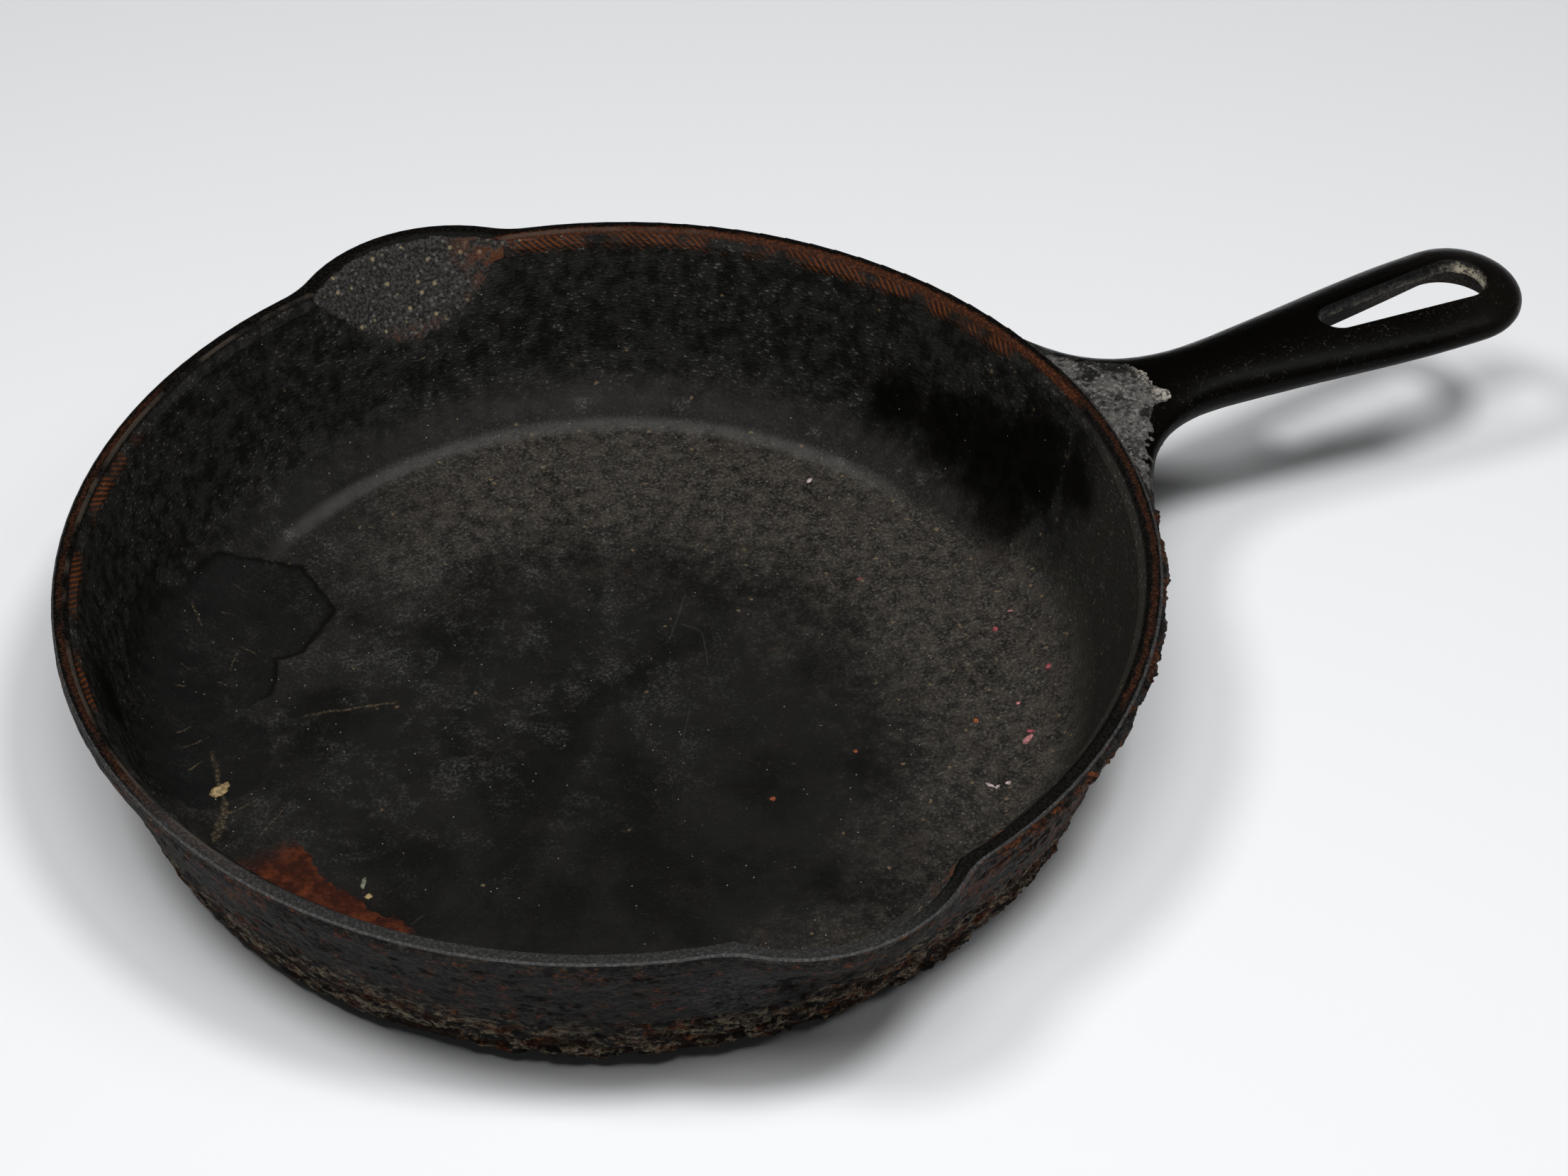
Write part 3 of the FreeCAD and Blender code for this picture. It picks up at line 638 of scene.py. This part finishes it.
def crust_look():
    """Burnt crust: dark grey skin, brown with painted shade in its pits, tan and rust in the flakes near the
    foot, a painted highlight on its front and painted near-black shade below its hem.
    """
    look = Look("wall_crust")
    depth = look.node("ShaderNodeAttribute", attribute_name="depth").outputs["Fac"]
    shade_below_hem = look.node("ShaderNodeAttribute", attribute_name="shade_below_hem").outputs["Fac"]
    aside = look.fade(look.calc("ABSOLUTE", look.add(look.angle, 108.0)), 10.0, 35.0)
    cloudy = look.add(look.z, look.times(look.noise(9.0, 5.0, 0.68), 20.0), look.times(aside, -5.0))
    low = look.fade(cloudy, 34.0, 20.0)
    colour, fine, flakes = crust_colour(look, low)
    # Painted highlight: a pale bluish sheen on the front of the crust
    cloud = look.near(look.bent(9.0, 6.0), (-26.0, -124.0, 33.0), 4.0, 13.0)
    colour = look.mix(look.times(cloud, look.fade(fine, 0.38, 0.62), 0.6), colour, CRUST_PAINTED_HIGHLIGHT)
    # Pits and chips: their own brown, partly painted shade in the hollows
    colour = look.mix(look.times(depth, 0.8), colour, PIT_BROWN_AND_SHADE)
    # Painted shade: near-black on the skirt below the crust's hem, which lies in the overhang's shadow
    colour = look.mix(shade_below_hem, colour, PAINTED_HEM_SHADE)
    roughness = look.add(0.55, look.times(depth, 0.2), look.times(low, 0.2))
    height = look.add(look.times(fine, 0.9), look.times(flakes, 1.3))
    return look.finish(colour, roughness, height, CRUST_SPECULAR)


def surface_finder(node):
    """A finder of points on a CAD node, in millimetres."""
    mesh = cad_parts[node].data
    corners = [vertex.co / MM for vertex in mesh.vertices]
    return BVHTree.FromPolygons(corners, [tuple(polygon.vertices) for polygon in mesh.polygons])


def one_patch(squares):
    """The largest group of squares joined by their sides, without squares that meet only at a corner."""
    for column, row in sorted(squares):
        for other in (row - 1, row + 1):
            beside = (column + 1, row) in squares or (column, other) in squares
            if (column + 1, other) in squares and not beside:
                squares.discard((column, row))
    largest = set()
    while squares:
        group = set()
        reached = {min(squares)}
        while reached:
            group |= reached
            squares -= reached
            around = {(column + right, row + up) for column, row in reached
                      for right, up in ((1, 0), (-1, 0), (0, 1), (0, -1))}
            reached = around & squares
        largest = max(largest, group, key=len)
    return largest


def closed_patch(columns, rows, kept):
    """Faces of a closed patch: the kept squares of a top grid, the same squares of a back grid, and walls."""
    count = columns * rows
    squares = set()
    for column in range(columns - 1):
        for row in range(rows - 1):
            corner = column * rows + row
            if all(kept[index] for index in (corner, corner + rows, corner + rows + 1, corner + 1)):
                squares.add((column, row))
    faces = []
    edges = set()
    for column, row in sorted(one_patch(squares)):
        corner = column * rows + row
        square = (corner, corner + rows, corner + rows + 1, corner + 1)
        faces.append(square)
        faces.append(tuple(count + index for index in reversed(square)))
        edges.update(zip(square, square[1:] + square[:1]))
    for here, after in sorted(edges):
        if (after, here) not in edges:
            faces.append((after, here, count + here, count + after))
    return faces


def drop_unused(points, faces):
    """Leave out the points that no face uses."""
    used = sorted({index for face in faces for index in face})
    places = {index: place for place, index in enumerate(used)}
    return [points[index] for index in used], [[places[index] for index in face] for face in faces]


ASH_CORNERS = ((118.0, -34.0), (160.0, 36.0))
ASH_STEP = 0.4
ASH_DEPTH = 1.6
# Where the ash ends along the handle, as (y, x) from the near side to the far side
ASH_END = ((-34.0, 131.0), (-21.7, 137.3), (-16.2, 143.0), (-10.6, 145.5), (-7.0, 153.5), (-3.2, 150.7),
           (5.6, 148.6), (12.6, 144.3), (15.8, 139.3), (22.8, 134.6), (36.0, 127.0))


def ash_end(y):
    """Where the ash ends along the handle at a place across it."""
    for (low, start), (high, end) in zip(ASH_END, ASH_END[1:]):
        if y <= high:
            return start + (end - start) * (y - low) / (high - low)
    return ASH_END[-1][1]


def add_handle_root_ash(material, iron):
    """Ashy grey deposit on the handle root: a lumpy patch that sinks into the iron at its outline."""
    (low_x, low_y), (high_x, high_y) = ASH_CORNERS
    columns = round((high_x - low_x) / ASH_STEP)
    rows = round((high_y - low_y) / ASH_STEP)
    tops = []
    kept = []
    for column in range(columns):
        for row in range(rows):
            x = low_x + column * ASH_STEP
            y = low_y + row * ASH_STEP
            hit = iron.ray_cast(Vector((x, y, 80)), Vector((0, 0, -1)))[0]
            level = hit.z if hit is not None else 0
            place = Vector((x, y, 0))
            ragged = noise.fractal(place / 5.0, 0.7, 2.1, 5)
            lumps = noise.fractal(place / 1.6 + SEED_CHIP, 0.7, 2.1, 3)
            inside = min((ash_end(y) - x) / 3.5, 1.0) + 1.1 * ragged
            thick = min(max(inside, -0.7), 0.35) + 0.3 * lumps * soft_step(inside, 0, 0.4)
            tops.append(Vector((x, y, level + thick)))
            kept.append(level > 36 and math.hypot(x, y) > RIM_RADIUS - 0.2 and inside > -0.6)
    backs = [top - Vector((0, 0, ASH_DEPTH)) for top in tops]
    points, faces = drop_unused(tops + backs, closed_patch(columns, rows, kept))
    make_piece("handle_root_ash", points, faces, material, "handle_root_crust")


# Gaps in the ash that show black iron, as (centre, reach)
ASH_GAPS = (((147.0, 8.0, 50.0), 5.0), ((141.5, 17.0, 50.0), 5.5), ((135.0, 26.0, 50.0), 4.5),
            ((137.0, 8.0, 50.0), 1.8), ((143.5, -11.5, 50.0), 1.8))


def ash_look():
    """Light ash over grey, with black gaps and a few near-white crumbs."""
    look = Look("ash")
    fine = look.noise(1.1, 4.0, 0.75)
    cloud = look.noise(6.0, 5.0, 0.72)
    colour = look.mix(look.fade(cloud, 0.36, 0.60), ASH_DARK, ASH_GREY)
    colour = look.mix(look.fade(fine, 0.50, 0.66), colour, ASH_LIGHT)
    colour = look.mix(look.fade(fine, 0.46, 0.34), colour, ASH_GAP)
    bare = blots(look, look.bent(4.0, 5.0), ASH_GAPS, 1.5)
    grains = look.specks(1.3, 0.35, 0.40)
    colour = look.mix(look.times(bare, 0.9), colour, look.mix(grains, BARE_IRON, ASH_GRAIN))
    tip = look.times(look.fade(look.x, 147.0, 151.0), look.fade(fine, 0.42, 0.55))
    colour = look.mix(tip, colour, ASH_CREAM)
    height = look.times(look.add(fine, cloud), 0.5)
    return look.finish(colour, look.add(0.75, look.times(fine, 0.15)), height, DEPOSIT_SPECULAR)


EYE_NARROW = (207.3, 5.2)
EYE_WIDE = (243.3, 8.4)


def teardrop_point(share, inset):
    """Point and outward direction on the eye's outline, going once round for share 0 to 1."""
    gap = EYE_WIDE[0] - EYE_NARROW[0]
    lean = math.acos((EYE_NARROW[1] - EYE_WIDE[1]) / gap)
    run = gap * math.sin(lean)
    small_arc = 2 * (math.pi - lean) * EYE_NARROW[1]
    large_arc = 2 * lean * EYE_WIDE[1]
    travelled = share * (large_arc + small_arc + 2 * run)
    if travelled < large_arc:
        turn = travelled / EYE_WIDE[1] - lean
        centre, radius = EYE_WIDE
        back = 0
    elif travelled < large_arc + run:
        turn = lean
        centre, radius = EYE_WIDE
        back = travelled - large_arc
    elif travelled < large_arc + run + small_arc:
        turn = lean + (travelled - large_arc - run) / EYE_NARROW[1]
        centre, radius = EYE_NARROW
        back = 0
    else:
        turn = 2 * math.pi - lean
        centre, radius = EYE_NARROW
        back = travelled - large_arc - run - small_arc
    out = Vector((math.cos(turn), math.sin(turn), 0))
    ahead = Vector((-out.y, out.x, 0))
    return Vector((centre, 0, 0)) + out * (radius - inset) + ahead * back, out


EYE_COLUMNS = 300
EYE_ROWS = 14


def add_eye_residue(material):
    """Grey residue on the walls of the hanging eye, thickest at the far end."""
    low, high = [corner.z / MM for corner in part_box("hanging_eye_crust")]
    points = []
    for column in range(EYE_COLUMNS):
        share = column / EYE_COLUMNS
        for row in range(EYE_ROWS):
            rise = row / (EYE_ROWS - 1)
            height = low + (high + 0.4 - low) * rise
            wall, out = teardrop_point(share, 0)
            place = wall + Vector((0, 0, height))
            rough = noise.fractal(place / 2.2, 0.8, 2.1, 4)
            end = soft_step(wall.x, 222, 246)
            fade = soft_step(rise, 0, 0.12) * soft_step(rise, 1, 0.7)
            thick = (0.25 + 0.55 * end + 0.45 * rough) * fade - 0.2 * (1 - fade)
            points.append(place - out * max(thick, -0.3))
        for height in (high + 0.2, low + 0.2):
            backing, _ = teardrop_point(share, -0.9)
            points.append(backing + Vector((0, 0, height)))
    loop = EYE_ROWS + 2
    faces = []
    for column in range(EYE_COLUMNS):
        here = column * loop
        beside = (column + 1) % EYE_COLUMNS * loop
        for row in range(loop):
            after = (row + 1) % loop
            faces.append((here + row, here + after, beside + after, beside + row))
    make_piece("hanging_eye_residue", points, faces, material, "hanging_eye_crust")


def residue_look():
    """Beige-grey residue with dark gaps: black iron above it, and near-white at the far end."""
    look = Look("eye_residue")
    fine = look.noise(0.9, 4.0, 0.75)
    ragged = look.times(look.noise(3.0, 4.0, 0.6), 3.0)
    level = look.add(look.z, ragged, look.times(look.fade(look.x, 236.0, 249.0), -1.5))
    bare = look.fade(level, 48.8, 50.2)
    colour = look.mix(look.fade(fine, 0.38, 0.64), RESIDUE_DARK, RESIDUE_BEIGE)
    white = look.times(look.fade(look.x, 245.0, 249.5), look.fade(fine, 0.38, 0.54))
    colour = look.mix(white, colour, RESIDUE_WHITE)
    # The black iron above the residue carries grey specks as painted glints
    colour = look.mix(bare, colour, look.mix(look.fade(fine, 0.60, 0.72), HANDLE_BLACK, GREY_GRIT))
    roughness = look.minus(0.85, look.times(bare, 0.45))
    return look.finish(colour, roughness, look.times(fine, 0.4), DEPOSIT_SPECULAR)


SCOOP_COLUMNS = 190
SCOOP_ROWS = 80
SCOOP_FOOT = 26.0
CAVITY_RADIUS = 113.5


def add_scoop_deposit(word, side, material, iron):
    """Granular deposit that lines one scoop, thinning to nothing at its outline."""
    tops = []
    backs = []
    kept = []
    for column in range(SCOOP_COLUMNS):
        turn = side * math.radians(90) + math.radians(19) * (1 - 2 * column / (SCOOP_COLUMNS - 1))
        out = Vector((math.cos(turn), math.sin(turn), 0))
        for row in range(SCOOP_ROWS):
            height = SCOOP_FOOT + (RIM_HEIGHT - 0.9 - SCOOP_FOOT) * row / (SCOOP_ROWS - 1)
            wall = iron.ray_cast(Vector((0, 0, height)), out)[0].xy.length
            place = out * wall + Vector((0, 0, height))
            hollow = wall - CAVITY_RADIUS - WALL_FLARE * height
            inside = min((hollow - 0.9) / 1.5, (RIM_HEIGHT - 1.2 - height) / 2, 1)
            ragged = noise.fractal(place / 3.5, 0.8, 2.1, 4)
            grains = noise.fractal(place / 1.1 + SEED_PIT, 0.6, 2.1, 3)
            thick = min(max(inside + 0.3 * ragged, -0.4), 0.35) + 0.2 * grains * soft_step(inside, 0, 0.5)
            tops.append(place - out * thick)
            backs.append(place + out)
            kept.append(inside > -0.5)
    points, faces = drop_unused(tops + backs, closed_patch(SCOOP_COLUMNS, SCOOP_ROWS, kept))
    make_piece(f"{word}_lip_deposit", points, faces, material, f"{word}_lip_crust")


def scoop_look():
    """Granular grey deposit with tan grains and rust toward one side and the bottom."""
    look = Look("scoop_crust")
    fine = look.noise(0.8, 4.0, 0.7)
    colour = look.mix(look.fade(fine, 0.40, 0.62), SCOOP_DARK, SCOOP_GREY)
    grains = look.specks(1.5, 0.42, 0.42)
    colour = look.mix(look.times(grains, 0.75), colour, GREY_GRIT)
    tan = look.specks(2.1, 0.2, 0.36)
    colour = look.mix(look.times(tan, 0.85), colour, SCOOP_TAN)
    right = look.fade(look.add(look.x, look.times(look.noise(7.0), 10.0)), 16.0, 30.0)
    bottom = look.fade(look.add(look.z, look.times(look.noise(5.0), 8.0)), 38.0, 32.0)
    stain = look.times(look.fade(look.noise(4.0, 4.0, 0.7), 0.45, 0.6), look.most(right, bottom))
    colour = look.mix(look.times(stain, 0.7), colour, RUST)
    return look.finish(colour, look.add(0.7, look.times(fine, 0.2)), look.times(fine, 0.5), DEPOSIT_SPECULAR)


# Crumbs and chips on the floor: place along X and Y, length, width, height, turn in degrees, colour
CRUMBS = (
    (-100.5, 11.0, 4.8, 3.4, 1.3, 20, "straw"),
    (-98.0, 12.3, 2.2, 1.4, 0.8, 70, "straw"),
    (-81.0, -37.5, 2.0, 1.6, 0.7, 10, "straw"),
    (-80.5, -33.0, 3.4, 1.2, 0.5, 60, "sage"),
    (84.0, -60.6, 3.8, 1.7, 0.45, 25, "pink"),
    (86.0, -58.6, 2.2, 1.2, 0.4, -30, "red"),
    (68.2, -70.2, 2.6, 0.9, 0.5, -60, "pale"),
    (69.6, -71.4, 1.4, 0.8, 0.4, 20, "pale"),
    (72.4, -71.6, 1.3, 1.1, 0.5, 0, "pale"),
    (88.3, -48.1, 1.2, 0.9, 0.4, 0, "pink"),
    (96.1, -21.8, 1.9, 1.5, 0.4, 40, "red"),
    (102.6, -17.8, 1.6, 0.7, 0.3, -20, "pink"),
    (100.5, -41.6, 2.2, 1.5, 0.4, 15, "red"),
    (79.9, 50.9, 2.0, 1.1, 0.4, 30, "pale"),
    (73.9, 10.5, 1.6, 0.8, 0.3, 0, "red"),
    (75.9, -48.9, 1.5, 1.5, 0.5, 0, "orange"),
    (18.8, -50.8, 1.5, 1.4, 0.4, 0, "orange"),
    (44.3, -45.2, 1.1, 1.0, 0.3, 0, "orange"),
)
CRUMB_COLOURS = {
    "straw": (0.33, 0.24, 0.11),
    "sage": (0.20, 0.21, 0.15),
    "pink": (0.48, 0.20, 0.20),
    "red": (0.30, 0.07, 0.08),
    "pale": (0.55, 0.45, 0.42),
    "orange": (0.38, 0.10, 0.03),
}
CRUMB_RINGS = 10
CRUMB_SIDES = 20


def crumb_look(name, base):
    """Dry crumb: its own colour, darkened in patches."""
    look = Look(f"crumb_{name}")
    spots = look.fade(look.noise(1.0, 3.0, 0.6), 0.35, 0.65)
    dark = tuple(channel * 0.45 for channel in base)
    return look.finish(look.mix(spots, dark, base), 0.7, look.times(spots, 0.12), CRUMB_SPECULAR)


def add_crumbs(iron):
    """All crumbs as one piece: flattened lumps with ragged outlines, stuck to the floor."""
    chance = random.Random(7)
    points = []
    faces = []
    looks = list(CRUMB_COLOURS)
    kinds = []
    for x, y, length, width, height, turn, colour in CRUMBS:
        first = len(points)
        seed = Vector((chance.uniform(0, 99), chance.uniform(0, 99), 0))
        ground = iron.ray_cast(Vector((x, y, 40)), Vector((0, 0, -1)))[0].z
        spin = Matrix.Rotation(math.radians(turn), 3, "Z")
        for ring in range(CRUMB_RINGS + 1):
            rise = math.pi * ring / CRUMB_RINGS
            for step in range(CRUMB_SIDES if 0 < ring < CRUMB_RINGS else 1):
                around = 2 * math.pi * step / CRUMB_SIDES
                level = math.sin(rise)
                unit = Vector((level * math.cos(around), level * math.sin(around), math.cos(rise)))
                ragged = 1 + 0.45 * noise.fractal(unit * 1.4 + seed, 0.7, 2.1, 3)
                lump = Vector((unit.x * length / 2, unit.y * width / 2, unit.z * height / 2)) * ragged
                points.append(spin @ lump + Vector((x, y, ground + height * 0.18)))
        top = first
        bottom = len(points) - 1
        for ring in range(CRUMB_RINGS):
            for step in range(CRUMB_SIDES):
                after = (step + 1) % CRUMB_SIDES
                upper = first + 1 + (ring - 1) * CRUMB_SIDES
                lower = upper + CRUMB_SIDES
                if ring == 0:
                    face = (top, lower + step, lower + after)
                elif ring == CRUMB_RINGS - 1:
                    face = (upper + step, bottom, upper + after)
                else:
                    face = (upper + step, lower + step, lower + after, upper + after)
                faces.append(face)
                kinds.append(looks.index(colour))
    materials = [crumb_look(name, base) for name, base in CRUMB_COLOURS.items()]
    piece = make_piece("floor_crumbs_and_chips", points, faces, materials[0], "floor_crumbs")
    for material in materials[1:]:
        piece.data.materials.append(material)
    piece.data.polygons.foreach_set("material_index", kinds)


def add_camera():
    """Place the camera on a sphere round the rim's centre, aimed a little to its right."""
    turn = math.radians(CAMERA_AZIMUTH)
    lift = math.radians(CAMERA_ELEVATION)
    back = Vector((math.sin(turn) * math.cos(lift), -math.cos(turn) * math.cos(lift), math.sin(lift)))
    right = Vector((math.cos(turn), math.sin(turn), 0))
    up = back.cross(right)
    aim = Vector((0, 0, AIM_HEIGHT)) + right * AIM_RIGHT + up * AIM_UP
    data = bpy.data.cameras.new("camera")
    data.lens = CAMERA_LENS
    camera = link(bpy.data.objects.new("camera", data))
    facing = Matrix((right, up, back)).transposed().to_4x4()
    camera.matrix_world = Matrix.Translation((aim + back * CAMERA_DISTANCE) * MM) @ facing
    bpy.context.scene.camera = camera


# Lights: metres to the right of the pan, toward the camera and up, then size and power
LIGHTS = {
    "right_softbox": (0.36, 0.22, 1.2, 0.28, 6.5),
    "left_softbox": (-0.45, 0.19, 1.2, 0.36, 6.1),
    "front_softbox": (0.0, 0.42, 1.2, 0.5, 5.0),
    "far_right_softbox": (0.96, 0.24, 1.2, 0.5, 2.2),
    "low_front_softbox": (0.0, 1.6, 0.9, 1.2, 0.5),
}


def add_lights():
    """Add the round soft lights, each facing the pan."""
    turn = math.radians(CAMERA_AZIMUTH)
    right = Vector((math.cos(turn), math.sin(turn), 0))
    toward = Vector((math.sin(turn), -math.cos(turn), 0))
    for name, (aside, near, height, size, power) in LIGHTS.items():
        data = bpy.data.lights.new(name, "AREA")
        data.shape = "DISK"
        data.size = size
        data.energy = power
        lamp = link(bpy.data.objects.new(name, data))
        lamp.location = right * aside + toward * near + Vector((0, 0, height))
        lamp.rotation_euler = lamp.location.to_track_quat("Z", "Y").to_euler()


FLOOR_REACH = 3.0


def add_stage():
    """A plain pale floor."""
    mesh = bpy.data.meshes.new("stage_floor")
    corners = [(-FLOOR_REACH, -FLOOR_REACH, 0), (FLOOR_REACH, -FLOOR_REACH, 0),
               (FLOOR_REACH, FLOOR_REACH, 0), (-FLOOR_REACH, FLOOR_REACH, 0)]
    mesh.from_pydata(corners, [], [(0, 1, 2, 3)])
    floor = link(bpy.data.objects.new("stage_floor", mesh))
    material = bpy.data.materials.new("stage_floor")
    material.use_nodes = True
    shader = material.node_tree.nodes["Principled BSDF"]
    shader.inputs["Base Color"].default_value = (0.83, 0.84, 0.855, 1)
    shader.inputs["Roughness"].default_value = 0.9
    shader.inputs["Specular IOR Level"].default_value = 0.1
    mesh.materials.append(material)


def add_world():
    """Dim even light from the room."""
    world = bpy.data.worlds.new("room")
    world.use_nodes = True
    world.node_tree.nodes["Background"].inputs["Color"].default_value = (0.010, 0.0105, 0.011, 1)
    bpy.context.scene.world = world


add_camera()
add_stage()
add_world()
add_lights()
bpy.context.scene.view_settings.view_transform = "Standard"

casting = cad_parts["skillet_casting"]
casting.data.materials.clear()
casting.data.materials.append(iron_look())
casting_finder = surface_finder("skillet_casting")
add_outer_wall_crust(crust_look(), casting_finder)
add_handle_root_ash(ash_look(), casting_finder)
add_eye_residue(residue_look())
deposit = scoop_look()
add_scoop_deposit("rear", 1, deposit, casting_finder)
add_scoop_deposit("front", -1, deposit, casting_finder)
add_crumbs(casting_finder)
